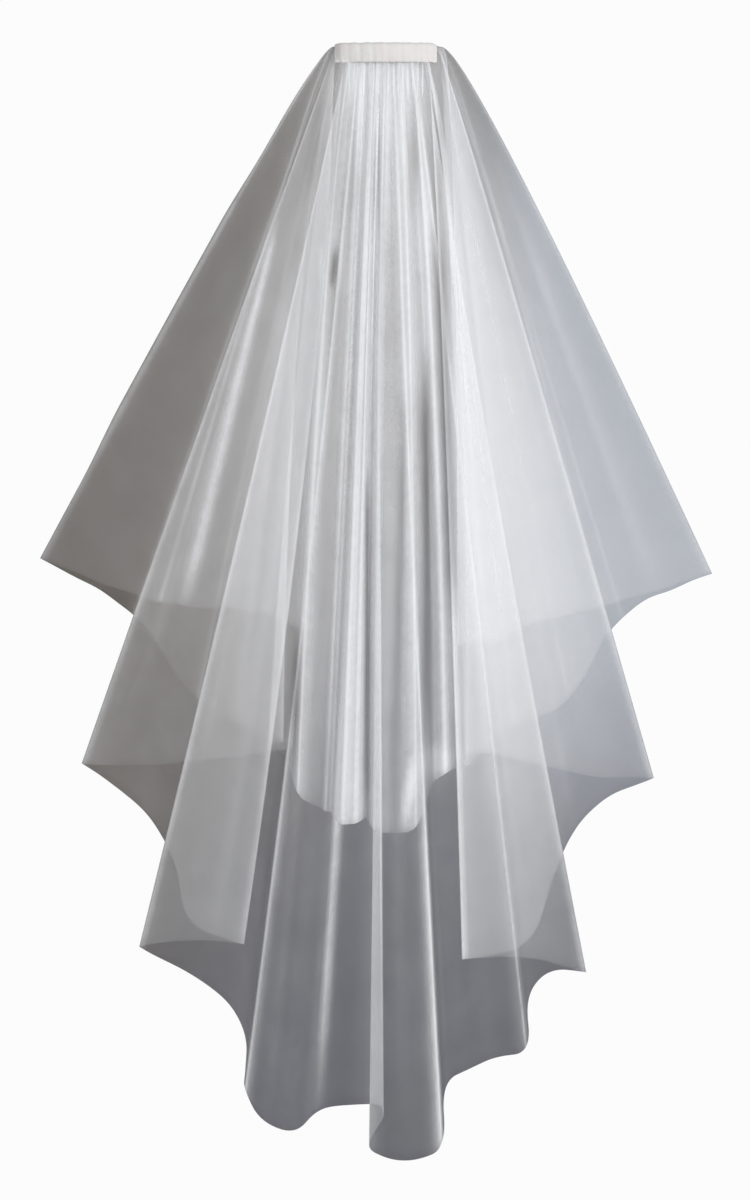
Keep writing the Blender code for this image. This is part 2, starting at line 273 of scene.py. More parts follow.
lowerFolds = [
    ("raw edge left", 0.000, -0.7, -85, 88, 634, 0, -0.40, 1.5, 1.5, 1.2, 2),
    ("edge pass left, in", 0.012, -1.0, -160, 84, 645, 0, -0.10, 1.5, 1.35, 0.8, 0),
    ("edge pass left, out", 0.022, -1.3, -235, 79, 651, 0, 0.00, 1.5, 1.1, 0.6, 0),
    ("wing tip left", 0.040, -2.1, -276, 74, 648, 5, 0.03, 1.5, 1.15, 1.5, 2),
    ("return left, out", 0.062, -2.8, -222, 70, 684, 0, 0.00, 1.5, 1.2, 1.9, 0),
    ("return left, mid", 0.070, -2.8, -190, 66, 734, 0, -0.05, 1.5, 1.4, 1.4, 0),
    ("return left, low", 0.078, -2.8, -182, 63, 796, 0, -0.15, 1.5, 1.4, 1.3, 0),
    ("flap fold left", 0.100, -3.5, -128.5, 56, 811, 5, -0.3, 2.2, 1.8, 1.5, 2),
    ("flap left", 0.118, -4.2, -178, 49, 806, 0, -0.15, 1.6, 1.4, 1.3, 0),
    ("second tip left", 0.136, -4.9, -223, 40, 813, 5, -0.05, 1.6, 1.4, 1.3, 3),
    ("pass left, out", 0.156, -5.9, -150, 30, 852, 0, -0.10, 2.4, 1.4, 1.5, 0),
    ("pass left, in", 0.176, -6.2, -125, 26, 890, 0, -0.25, 3.2, 1.8, 2.0, 0),
    ("flute 1 side", 0.200, -5.1, -127, 6, 928, 0, -0.25, 6, 2.0, 2.6, 0),
    ("flute 1 left", 0.235, -7.5, -128.5, -10, 938, 0, -0.22, 7, 2.6, 1.6, 17),
    ("flute 1 front", 0.270, -5.4, -114, -13, 969, 0, -0.25, 7, 2.4, 1.4, 0),
    ("flute 1 right", 0.305, -7.5, -82, -8, 981, 0, -0.25, 7, 2.2, 1.4, 0),
    ("flute 1 valley", 0.345, -5.1, -62.5, 22, 960, 0, -0.62, 7, 2.4, 1.4, 0),
    ("flute 2 front", 0.380, -7.5, -40, 17, 955, 0, -0.20, 5.5, 2.2, 1.1, 0),
    ("flute 2 valley", 0.415, -5.1, 7, 24, 955, 0, -0.20, 5.5, 2.6, 2.4, 5),
    ("flute 3 left", 0.450, -7.5, -21.2, -12, 992, 0, -0.20, 5.5, 2.8, 2.4, 7),
    ("flute 3 dip", 0.490, -5.8, 2, -12, 1004, 0, -0.25, 5.5, 2.4, 1.3, 0),
    ("flute 3 front", 0.530, -7.5, 28, -15, 1004, 0, -0.25, 5.5, 2.4, 1.5, 0),
    ("flute 3 right", 0.570, -6.0, 54, -8, 994, 0, -0.25, 5.5, 2.6, 1.9, 14),
    ("flute 3 valley", 0.605, -5.1, 50, 24, 935, 0, -0.20, 5, 2.2, 1.4, 0),
    ("flute 4 front", 0.645, -7.5, 78, 20, 921, 0, -0.05, 6, 2.4, 1.5, 0),
    ("flute 4 valley", 0.685, -5.1, 98, 28, 913, 0, 0.00, 6, 2.6, 1.5, 0),
    ("flute 5 front", 0.725, -7.5, 131, 12, 908, 0, 0.08, 6, 3.0, 1.9, 5),
    ("flute 5 side", 0.765, -5.5, 126, 32, 858, 0, 0.05, 5, 3.0, 1.8, 0),
    ("pass right, out", 0.820, -5.9, 145, 36, 833, 0, -0.05, 2.8, 2.6, 1.6, 0),
    ("second tip right", 0.858, -4.9, 181, 40, 836, 5, -0.10, 2.8, 2.4, 1.4, 3),
    ("flap right", 0.877, -4.2, 125, 49, 821, 0, 0.10, 2.8, 3.0, 1.8, 0),
    ("flap fold right", 0.896, -3.5, 69, 56, 825, 5, 0.30, 4.0, 2.3, 2.0, 6),
    ("return right, low", 0.919, -2.8, 134, 63, 816, 0, 0.10, 2.8, 3.2, 2.2, 0),
    ("return right, mid", 0.927, -2.8, 154, 66, 738, 0, 0.10, 2.8, 3.4, 2.2, 0),
    ("return right, out", 0.935, -2.8, 186, 70, 684, 0, 0.06, 2.8, 2.3, 1.5, 0),
    ("wing tip right", 0.958, -2.1, 243, 74, 661, 5, 0.06, 2.8, 1.2, 1.1, 3),
    ("edge pass right, out", 0.976, -1.3, 180, 79, 660, 0, 0.10, 2.8, 2.3, 1.6, 0),
    ("edge pass right, in", 0.987, -1.0, 110, 84, 641, 0, 0.15, 2.8, 3.3, 2.0, 0),
    ("raw edge right", 1.000, -0.7, 72, 88, 638, 0, 0.30, 2.8, 2.9, 1.8, 0.5),
]


# Lines of painted shade where the gathers part (share below 0) and of painted light where they crowd (above
# 0),
# through both tiers, in mm: x at the start and at the end, start and end below the top of the cloth, width,
# and the share of layers that they add.
shadingLines = [
    (-52, -74, 0, 160, 7, -0.30),  # dark line beside the front bunch, left
    (-30, -30, 20, 190, 5, -0.30),  # three soft dark lines below the heading
    (-11.5, -11.5, 20, 190, 6, -0.42),
    (27, 26, 20, 140, 5, -0.36),
    (49, 48, 5, 205, 5, -0.45),  # dark line beside the raw edge, right
    (48, 60, 130, 545, 7.2, -0.69),  # and the wedge that it opens into
    (30, 33, 100, 345, 7, 1.2),  # gathers that close the next wedge at its top
    (37, 36, 240, 640, 3.9, -0.50),  # dark wedge right of flute 4
    (18, 4, 270, 700, 4.0, -0.30),  # dark line down flute 4
    (-17, -17, 350, 720, 2.7, -0.70),  # dark line down the middle
    (-79, -84, 505, 655, 4.4, -0.68),  # dark strip left of flute 1
    (-44, -50, 174, 228, 4.0, -0.75),  # small eye-shaped opening between two pleats
    (25, 15, 636, 712, 3.6, 2.0),  # bright lobe at the hem of flute 4
    (46, 46, 622, 668, 13, 0.9),  # hem turned up beside it
    (-58, -58, 170, 232, 2.2, 0.6),  # bright rims of the eye-shaped opening
    (-39, -43, 166, 226, 2.0, 0.5),
]
shadingLineFade = {"share": 0.4, "length": 80}  # each fades in and out over this share of it, or this many mm


# The share of layers that the painted shade and light lines leave at every point.
def shadingLineShare(points):
    x, drop = points[..., 0], hanging["clothTop"] - points[..., 2]
    left = np.ones(x.shape)
    for startX, endX, start, end, width, share in shadingLines:
        down = (drop - start) / (end - start)
        soft = min(shadingLineFade["share"], shadingLineFade["length"] / (end - start))
        along = smoothStep(down, 0, soft) * (1 - smoothStep(down, 1 - soft, 1))
        left *= 1 + share * along * np.exp(-(((x - startX - (endX - startX) * down) / width) ** 2))
    return left


def combArc(x):
    return hanging["combRadius"] - np.sqrt(hanging["combRadius"] ** 2 - x**2)


# The fold lines from heading to hem: an array of points (rows, 3) for each, two for a doubled fold, with
# the layers of net gathered there down the rows, and the extra ones on the line itself.
def foldLines(folds, shares):
    lines, doubled, layers, extras = [], [], [], []
    for index, (_, place, head, x, depth, drop, gap, bow, top, middle, hem, extra) in enumerate(folds):
        held = hanging["heldDrop"] / drop
        opened = np.clip((shares - held) / (1 - held), 0, None) ** hanging["openingPower"]
        nearEnd = min(place, 1 - place) < hanging["endReach"]
        power = hanging["endPuffPower"] if nearEnd else hanging["puffPower"]
        puff = shares ** (power if bow > 0 else 1.0)
        spread = shares + bow * puff * (1 - shares)
        headX = (place - 0.5) * hanging["headingWidth"]
        gapHere = hanging["layerGapAtHead"] + (gap - hanging["layerGapAtHead"]) * opened
        sides = (0,)
        if gap:
            sides = (1, -1) if folds[index - 1][4] > folds[index + 1][4] else (-1, 1)
        for side in sides:
            lines.append(np.stack([
                headX + (x - headX) * spread,
                combArc(headX) + head + (depth - head) * opened + side * gapHere / 2,
                hanging["clothTop"] - drop * shares,
            ], axis=1))
            doubled.append(bool(gap))
            lower = np.interp(shares, [0.0, 0.5, 1.0], [middle, middle, hem])
            fading = np.exp(-np.maximum(shares - hanging["headReach"], 0) / hanging["headFade"])
            layers.append(lower + (top - middle) * fading)
            extras.append(extra / len(sides))
    return lines, doubled, np.array(layers), extras


def lengths(vectors):
    return np.linalg.norm(vectors, axis=-1, keepdims=True)


# All columns of the cloth: soft bends at the fold lines, with straight runs between them. Each column also
# gets its spot, which counts the fold lines passed. Bright fold lines and raw edges get fine columns.
def clothColumns(lines, doubled, extras, spacing):
    columns, spots = [lines[0]], [0.0]
    fine, fineCount = hanging["lineSpacing"], hanging["lineColumns"]

    def addRun(end, endSpot):
        start, startSpot = columns[-1], spots[-1]
        width = lengths(end - start)[-1, 0]
        count = int(width / spacing)
        steps = [step / (count + 1) for step in range(1, count + 1)]
        if startSpot == 0 and extras[0]:
            steps += [fine * k / width for k in range(1, fineCount + 1)]
        if endSpot == len(lines) - 1 and extras[-1]:
            steps += [1 - fine * k / width for k in range(1, fineCount + 1)]
        for t in sorted(steps):
            columns.append(start + (end - start) * t)
            spots.append(startSpot + (endSpot - startSpot) * t)

    for index in range(1, len(lines) - 1):
        corner = lines[index]
        before, after = lines[index - 1] - corner, lines[index + 1] - corner
        reachBefore = reachAfter = np.full((len(corner), 1), hanging["bendReach"])
        if doubled[index]:
            shorter = np.minimum(lengths(before), lengths(after))
            reachBefore = hanging["bendReach"] * shorter / lengths(before)
            reachAfter = hanging["bendReach"] * shorter / lengths(after)
        start, end = corner + before * reachBefore, corner + after * reachAfter
        startSpot, endSpot = index - reachBefore[-1, 0], index + reachAfter[-1, 0]
        addRun(start, startSpot)
        reach = lengths(start - corner)[-1, 0] + lengths(end - corner)[-1, 0]
        count = max(4, round(reach / spacing))
        steps = [step / count for step in range(count + 1)]
        if extras[index]:
            near = fine / max(lengths(end - start)[-1, 0], fine * 12)
            steps = [t for t in steps if abs(t - 0.5) > (fineCount + 0.4) * near]
            steps += [0.5 + near * k for k in range(-fineCount, fineCount + 1)]
        for t in sorted(steps):
            columns.append(start * (1 - t) ** 2 + corner * 2 * t * (1 - t) + end * t**2)
            spots.append(startSpot * (1 - t) ** 2 + index * 2 * t * (1 - t) + endSpot * t**2)
    addRun(lines[-1], len(lines) - 1)
    columns.append(lines[-1])
    spots.append(len(lines) - 1.0)
    return np.array(columns), np.array(spots)


# Layers of net at every point: from the fold lines on both sides, more on the bright fold lines.
def gatheredLayers(walked, spots, shares, layers, extras, seed):
    part = spots % 1
    eased = np.floor(spots) + part * part * (3 - 2 * part)
    gathered = np.stack([np.interp(eased, np.arange(len(layers)), row) for row in layers.T], axis=1)
    widthAtHead, gain = hanging["lineWidth"]
    width = widthAtHead + gain * np.sqrt(shares)
    for index, extra in enumerate(extras):
        if extra:
            away = np.abs(walked - walked[np.argmin(np.abs(spots - index))]) / width
            uneven = 1 + hanging["lineUnevenness"] * unevenWave(shares, hanging["lineSwings"], seed + index)
            sharp, softFoot = np.exp(-(away**2)), np.exp(-((away / 4) ** 2))
            gathered += extra * uneven * (0.8 * sharp + 0.2 * softFoot)
    return gathered


def walkedAcross(points):
    walked = np.zeros(points.shape[:2])
    walked[1:] = np.cumsum(lengths(points[1:] - points[:-1])[..., 0], axis=0)
    return walked


# Smooth uneven wave between -1 and 1, with this many swings over places from 0 to 1.
def unevenWave(places, swings, seed):
    knots = np.random.default_rng(seed).uniform(-1, 1, swings + 2)
    knots[1::2] = np.abs(knots[1::2])
    knots[::2] = -np.abs(knots[::2])
    where = np.clip(places, 0, 1) * swings
    index = where.astype(int)
    share = where - index
    share = share * share * (3 - 2 * share)
    return knots[index] * (1 - share) + knots[index + 1] * share


def smoothStep(values, low, high):
    share = np.clip((values - low) / (high - low), 0, 1)
    return share * share * (3 - 2 * share)


# Small gathers below the heading: fine ones that soon die out, and broader ones that run further down.
def gatherWaves(places, shares, tier):
    height = np.zeros((len(places), len(shares)))
    for swings, depth, fade, seed in tier["gathers"]:
        reach = fade * (1 + 0.6 * unevenWave(places, swings // 3, seed + 50))  # uneven lengths
        rise = smoothStep(shares, 0.02, 0.12)  # flat inside the heading
        fall = np.exp(-((shares[None, :] / reach[:, None]) ** 1.5))
        height += depth * unevenWave(places, swings, seed)[:, None] * rise[None, :] * fall
    return height


# How much of each listed mark lies at every point of the cloth, from 0 to 1.
def markShares(spots, walked, shares, marks):
    numbers = np.arange(len(spots))
    for top, low, start, end, width, rise, extra in marks:
        down = np.clip((shares - start) / (end - start), 0, 1)
        path = np.interp(low + (top - low) * (1 - down) ** 2, spots, numbers)
        middle = np.array([np.interp(place, numbers, walked[:, row]) for row, place in enumerate(path)])
        soft = min(0.15, (end - start) / 2)  # share of the drop over which it fades in and out
        along = smoothStep(shares, start, start + soft) * (1 - smoothStep(shares, end - soft, end))
        size = width * np.sqrt(np.clip(shares, 0.08, 1))  # narrower towards the heading
        yield rise, extra, np.exp(-(((walked - middle) / size) ** 2)) * along


def gridNormals(points):
    across = np.gradient(points, axis=0)
    down = np.gradient(points, axis=1)
    normals = np.cross(across, down)
    return normals / np.maximum(lengths(normals), 1e-9)


# How sharply the cloth bends across its fold lines, as the angle turned over 10 mm.
def bendSharpness(points):
    steps = points[1:] - points[:-1]
    size = np.maximum(lengths(steps), 1e-6)
    unit = steps / size
    turn = np.arccos(np.clip((unit[1:] * unit[:-1]).sum(-1), -1, 1))
    span = ((size[1:] + size[:-1]) / 2)[..., 0]
    sharp = np.zeros(points.shape[:2])
    sharp[1:-1] = turn / np.maximum(span, 0.5) * 10
    smooth = sharp.copy()
    smooth[1:-1] = (sharp[:-2] + 2 * sharp[1:-1] + sharp[2:]) / 4
    return smooth


# One tier: its surface, its flat cut as the UV map, and the layers of net bunched at every point, with the
# painted shade and light lines in them.
def makeTier(name, folds, tier):
    shares = np.linspace(0, 1, tier["rows"]) ** hanging["rowCrowding"]
    lines, doubled, layers, extras = foldLines(folds, shares)
    points, spots = clothColumns(lines, doubled, extras, tier["spacing"])
    places = points[:, 0, 0] / hanging["headingWidth"] + 0.5
    walked = walkedAcross(points)
    across = walked[:, -1]
    relief = gatherWaves(places, shares, tier)
    layers = gatheredLayers(walked, spots, shares, layers, extras, tier["seed"])
    for rise, extra, here in markShares(spots, walked, shares, tier["marks"]):
        relief += rise * here
        layers = layers + extra * here if extra > 0 else layers * (1 + extra * here)
    points = points + gridNormals(points) * relief[..., None]
    points[:, -1, 2] += tier["hemRipple"] * unevenWave(across / across[-1], tier["hemSwings"], tier["seed"])
    for swings, strength, start, fade, seed in tier["streaks"]:
        along = smoothStep(shares, start - 0.1, start + 0.05)
        along = along * np.exp(-np.maximum(shares - start, 0) / fade)
        layers = layers * (1 + strength * unevenWave(places, swings, seed)[:, None] * along[None, :])
    glow = tier["foldGlow"] * np.minimum(bendSharpness(points), tier["sharpest"])
    # Painted shade and light: the shading lines thin or thicken the net at fixed places across the front.
    layers = layers * shadingLineShare(points) * (1 + glow)

    columnCount, rowCount = points.shape[:2]
    corner = np.arange(columnCount * rowCount).reshape(columnCount, rowCount)
    faces = np.stack([corner[:-1, :-1], corner[:-1, 1:], corner[1:, 1:], corner[1:, :-1]], axis=-1)
    faces = faces.reshape(-1, 4)
    mesh = bpy.data.meshes.new(name)
    mesh.from_pydata((points.reshape(-1, 3) * mm).tolist(), [], faces.tolist())
    cut = np.stack([
        np.repeat(across[:, None], rowCount, 1),
        np.repeat(-shares[None, :] * tier["length"], columnCount, 0),
    ], axis=-1).reshape(-1, 2) * mm
    uv = mesh.uv_layers.new(name="cut")
    uv.data.foreach_set("uv", cut[faces.reshape(-1)].astype(np.float32).ravel())
    bunchingAndShading = mesh.attributes.new("bunchingAndShading", "FLOAT", "POINT")
    bunchingAndShading.data.foreach_set("value", layers.reshape(-1).astype(np.float32))
    mesh.shade_smooth()
    obj = bpy.data.objects.new(name, mesh)
    bpy.context.scene.collection.objects.link(obj)
    print(name, "columns", columnCount, "rows", rowCount, "triangles", 2 * len(faces))
    return obj


# Sizes in metres. Cover is the share that one layer of net hides; mottle, cloud and threads vary it.
net = {
    "thickness": 0.0003,
    "cover": 0.09,
    "colour": (0.93, 0.94, 0.96, 1.0),
    "sheen": 0.6,
    "mottle": 0.14,
    "mottleSize": 0.008,
    "cloud": 0.22,
    "cloudSize": 0.04,
    "threads": 0.14,
    "threadShare": 0.35,  # of the net's area, so that the threads keep the mean cover
    "cellSize": 0.0011,
}


# Fine hexagonal net: the holes lie in rows at three angles, and many layers blur the threads.
def netPaint(name, net):
    paint = newPaint(name)
    cut = paint.node("ShaderNodeUVMap", {"uv_map": "cut"})
    across = paint.node("ShaderNodeSeparateXYZ", {}, [cut], output="X")
    along = paint.node("ShaderNodeSeparateXYZ", {}, [cut], output="Y")
    bunchingAndShading = paint.node("ShaderNodeAttribute", {"attribute_name": "bunchingAndShading"}, output=2)
    mottle, cloud = (
        paint.node("ShaderNodeTexNoise", {}, {"Vector": cut, "Scale": 1 / net[size], "Detail": 1.0})
        for size in ("mottleSize", "cloudSize")
    )
    turns = 4 * math.pi / (math.sqrt(3) * net["cellSize"])
    holes = sum(
        (across * (turns * math.cos(angle)) + along * (turns * math.sin(angle))).cosine()
        for angle in (0, math.pi / 3, 2 * math.pi / 3)
    )
    threads = paint.ramp(holes, 0.2, -1.1) / bunchingAndShading.atLeast(1.0)  # 1 on a thread, 0 in a hole
    cover = net["cover"] * (
        (1 - net["mottle"] - net["cloud"]) + mottle * 2 * net["mottle"] + cloud * 2 * net["cloud"]
        + (threads - net["threadShare"]) * net["threads"]
    )
    alpha = 1 - (1 - cover) ** (bunchingAndShading * 0.5)  # half on each side of the thin shell
    return paint.surface(
        Base_Color=net["colour"], Roughness=0.7, Alpha=alpha,
        Sheen_Weight=net["sheen"], Sheen_Roughness=0.4,
        Specular_IOR_Level=0.2,
    )


def finishTier(obj, material, node):
    obj.data.materials.append(material)
    shell = obj.modifiers.new("thickness", "SOLIDIFY")
    shell.thickness = net["thickness"]
    shell.offset = 0.0
    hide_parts(node)
    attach(obj, "root")
    obj.visible_shadow = False  # light passes through net


# Lengths are in mm. foldGlow is how much denser a sharp bend looks, up to the sharpest that counts, in
# radians over 10 mm. Gathers: swings along the heading, depth, how far down they reach, seed. Streaks of
# denser net: swings, strength, start down the drop, fade, seed. Marks: the fold lines (counted from the
# left, doubled ones twice) that each starts and ends at, its start and end down the drop, width and height,
# and the layers of net that it adds or, below 0, the share of them that it takes away.
upperTier = {
    "rows": 94,
    "spacing": 4.6,
    "length": 708,
    "foldGlow": 0.2,
    "sharpest": 2.5,
    "hemRipple": 0.8,
    "hemSwings": 60,
    "seed": 11,
    "gathers": [(75, 0.9, 0.16, 3), (38, 1.8, 0.34, 4), (17, 2.2, 0.6, 5)],
    "streaks": [(95, 0.32, 0.0, 0.12, 12), (61, 0.34, 0.12, 0.2, 14), (37, 0.3, 0.3, 0.5, 16)],
    "marks": [
        (1.90, 1.78, 0.28, 1.04, 6.0, 4.0, 7.5),  # bright ridge on the left edge pass
        (1.30, 1.30, 0.35, 1.10, 6.0, 2.5, 1.2),
        (3.50, 3.40, 0.20, 0.85, 9.0, -2.5, 0.3),
        (5.60, 5.50, 0.25, 1.05, 8.0, -3.0, -0.2),
        (6.50, 6.50, 0.30, 1.10, 8.0, 3.0, 1.2),
        (19.00, 19.00, 0.50, 1.20, 10.0, -1.0, -0.5),
        (20.50, 20.50, 0.45, 1.10, 3.0, -1.5, -0.3),
        (21.90, 21.10, 0.40, 1.15, 4.0, -2.0, -0.5),
        (22.95, 23.00, 0.45, 1.15, 8.0, -2.0, -0.4),
        (28.30, 27.00, 0.04, 0.34, 6.0, -1.5, -0.4),
        (25.00, 25.00, 0.20, 0.90, 8.0, -2.0, -0.4),
        (27.50, 27.50, 0.20, 0.90, 8.0, 3.0, 1.0),
        (30.50, 30.40, 0.20, 1.05, 9.0, -3.0, 0.5),
        (32.60, 32.50, 0.30, 1.00, 8.0, 2.5, 0.4),
        (34.50, 34.50, 0.20, 0.90, 7.0, 2.5, 1.0),
    ],
}

lowerTier = {
    "rows": 88,
    "spacing": 4.8,
    "length": 1004,
    "foldGlow": 0.2,
    "sharpest": 2.5,
    "hemRipple": 0.8,
    "hemSwings": 60,
    "seed": 21,
    "gathers": [(75, 0.9, 0.14, 13), (38, 1.8, 0.30, 14), (17, 2.2, 0.5, 15)],
    "streaks": [(95, 0.3, 0.0, 0.12, 22), (61, 0.35, 0.12, 0.2, 24), (37, 0.2, 0.3, 0.5, 26)],
    "marks": [
        (2.40, 2.30, 0.25, 0.95, 8.0, 3.0, 0.4),
        (4.50, 4.50, 0.20, 0.85, 8.0, -2.5, 0.3),
        (7.50, 7.50, 0.35, 1.05, 7.0, 3.0, 0.5),
        (10.50, 10.60, 0.20, 0.90, 8.0, 2.5, 0.5),
        (19.00, 19.00, 0.50, 1.02, 5.2, 1.5, 6.5),  # bright line that fades out above the hem
        (17.00, 17.20, 0.45, 1.05, 8.0, 2.5, 0.3),
        (20.50, 21.00, 0.50, 1.10, 5.0, -2.0, -0.35),  # dark line left of the middle flute
        (16.05, 16.05, 0.50, 1.15, 3.2, 0.0, 4.0),
        (16.35, 16.35, 0.60, 1.15, 7.0, 0.0, 0.9),
        (18.60, 18.60, 0.60, 1.10, 8.0, 0.0, 0.9),
        (23.50, 23.60, 0.40, 1.00, 9.0, 2.0, 0.3),
        (24.75, 24.75, 0.60, 1.15, 7.0, 0.0, 1.5),
        (24.95, 24.95, 0.62, 1.20, 5.0, 0.5, 8.0),
        (26.20, 26.40, 0.50, 1.10, 6.0, -2.5, -0.15),
        (30.20, 30.40, 0.30, 0.95, 8.0, 2.5, 0.4),
        (34.40, 34.40, 0.25, 0.90, 6.0, 3.0, 0.6),
        (38.50, 38.50, 0.40, 1.05, 7.0, -2.5, 0.5),
        (41.60, 41.50, 0.25, 0.90, 8.0, 2.5, 0.4),
    ],
}

netMaterial = netPaint("fineNet", net)
upper = makeTier("upperTier", upperFolds, upperTier)
finishTier(upper, netMaterial, "upper_tier")
lower = makeTier("lowerTier", lowerFolds, lowerTier)
finishTier(lower, netMaterial, "lower_tier")


# Heading: a narrow strip folded over both gathered edges and the comb's bar, softly ruched. Sizes in mm.
# Front, back and top give the middle of the strip first and its ends second. The front leans in by lean.
heading = {
    "width": 91.6,
    "front": (-17.0, -11.2),
    "back": (2.4, 1.2),
    "top": (11.5, 9.6),
    "frontHem": -5.8,
    "lean": 1.7,
    "backHem": -3.8,
    "corner": 3.4,
    "endReach": 8.0,
    "thickness": 0.8,
    "ruches": 17,
    "ruchHeight": 0.36,
    "seed": 31,
    "colour": (0.98, 0.93, 0.925, 1.0),
    "ivory": (0.98, 0.975, 0.945, 1.0),
    "slubAndThreadShade": (0.86, 0.83, 0.83, 1.0),  # painted shade between the threads, and darker slubs
    "threadPitch": 0.5,
}


# The strip's section at one place: depth and height from the front hem over the top to the back hem.
def headingSection(front, back, top, lean):
    corner = min(heading["corner"], (back - front) / 2)
    turns = np.linspace(0, math.pi / 2, 7)
    section = [
        (front + lean * (1 - smoothStep(z, heading["frontHem"], 2.0)), z)
        for z in np.linspace(heading["frontHem"], top - corner, 9)[:-1]
    ]
    section += [(front + corner - corner * math.cos(a), top - corner + corner * math.sin(a)) for a in turns]
    section += [(y, top) for y in np.linspace(front + corner, back - corner, 8)[1:-1]]
    section += [(back - corner + corner * math.sin(a), top - corner + corner * math.cos(a)) for a in turns]
    section += [(back, z) for z in np.linspace(top - corner, heading["backHem"], 9)[1:]]
    return np.array(section)


def makeHeading():
    half = heading["width"] / 2
    places = np.linspace(-1, 1, 121)
    columns = []
    for place in places:
        x = half * (1.25 * place - 0.25 * place * abs(place))  # columns crowd towards the rounded ends
        near = min(max((abs(x) - half + heading["endReach"]) / heading["endReach"], 0.0), 1.0)
        rounded = 1 - math.sqrt(1 - near**2)
        front, back, top = (
            middle + (end - middle) * rounded
            for middle, end in (heading["front"], heading["back"], heading["top"])
        )
        section = headingSection(front, back, top, heading["lean"] * (1 - rounded))
        depths, heights = combArc(x) + section[:, 0], section[:, 1]
        columns.append(np.stack([np.full(len(section), x), depths, heights], axis=1))
    points = np.array(columns)
    rows = points.shape[1]
    share = np.linspace(0, 1, rows)
    along = (places + 1) / 2
    ruched = np.zeros(points.shape[:2])
    for swings, height, drift, seed in (
        (heading["ruches"], heading["ruchHeight"], 0.02, 1),
        (heading["ruches"] * 2, heading["ruchHeight"] * 0.5, -0.015, 2),  # finer ones that drift back
    ):
        for row in range(rows):
            shifted = along + drift * math.sin(3 * share[row] + seed)
            ruched[:, row] += height * unevenWave(shifted, swings, heading["seed"] + seed)
    points = points - gridNormals(points) * ruched[..., None]

    columnCount = len(places)
    corner = np.arange(columnCount * rows).reshape(columnCount, rows)
    faces = np.stack([corner[:-1, :-1], corner[1:, :-1], corner[1:, 1:], corner[:-1, 1:]], axis=-1)
    faces = faces.reshape(-1, 4)
    middle = points[columnCount // 2]
    walked = np.cumsum(np.concatenate([[0], lengths(middle[1:] - middle[:-1])[:, 0]]))
    cut = np.stack([
        np.repeat(points[:, :1, 0], rows, 1), np.repeat(walked[None, :], columnCount, 0),
    ], axis=-1).reshape(-1, 2) * mm
    mesh = bpy.data.meshes.new("headingStrip")
    mesh.from_pydata((points.reshape(-1, 3) * mm).tolist(), [], faces.tolist())
    uv = mesh.uv_layers.new(name="cut")
    uv.data.foreach_set("uv", cut[faces.reshape(-1)].astype(np.float32).ravel())
    mesh.shade_smooth()
    mesh.materials.append(ribbonPaint("softRibbon"))
    obj = bpy.data.objects.new("headingStrip", mesh)
    bpy.context.scene.collection.objects.link(obj)
    wall = obj.modifiers.new("thickness", "SOLIDIFY")
    wall.thickness = heading["thickness"] * mm
    wall.offset = 0.0
    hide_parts("heading")
    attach(obj, "root")
    print("heading ready, section points", rows)
    return obj


# Plain woven ribbon: fine threads both ways with painted shade between them, ivory and faintly pink patches.
def ribbonPaint(name):
    paint = newPaint(name)
    cut = paint.node("ShaderNodeUVMap", {"uv_map": "cut"})
    across = paint.node("ShaderNodeSeparateXYZ", {}, [cut], output="X")
    along = paint.node("ShaderNodeSeparateXYZ", {}, [cut], output="Y")
    turns = 2 * math.pi / (heading["threadPitch"] * mm)
    warp = (across * turns).sine()
    weft = (along * turns).sine()
    weave = warp * weft
    patches = paint.node("ShaderNodeTexNoise", {}, {"Vector": cut, "Scale": 60.0, "Detail": 2.0})
    slub = paint.node("ShaderNodeTexNoise", {}, {"Vector": cut, "Scale": 900.0, "Detail": 2.0})
    tone = paint.mixColour(paint.ramp(patches, 0.35, 0.65), heading["colour"], heading["ivory"])
    # Painted shade: the weave darkens the colour between the threads, and slubs darken it at random.
    shaded = paint.mixColour(slub * 0.10 + weave * 0.04, tone, heading["slubAndThreadShade"])
    bump = paint.node("ShaderNodeBump", {}, {
        "Strength": 0.25, "Distance": 0.0001, "Height": weave + slub * 2,
    })
    return paint.surface(
        Base_Color=shaded, Roughness=0.62 + slub * 0.12, Normal=bump,
        Sheen_Weight=0.35, Sheen_Roughness=0.35, Specular_IOR_Level=0.3,
    )


# Comb: a bar with tapered teeth that sweep back towards the head, all on the same arc. Sizes in mm.
comb = {
    "teeth": 16,
    "width": 68.0,
    "barHeight": 7.8,
    "thickness": 1.8,
    "edgeRadius": 0.7,
    "toothLength": 36.0,
    "toothWidth": 1.9,
    "tipWidth": 1.0,
    "sweep": 7.0,
    "arcRadius": 120.0,
}


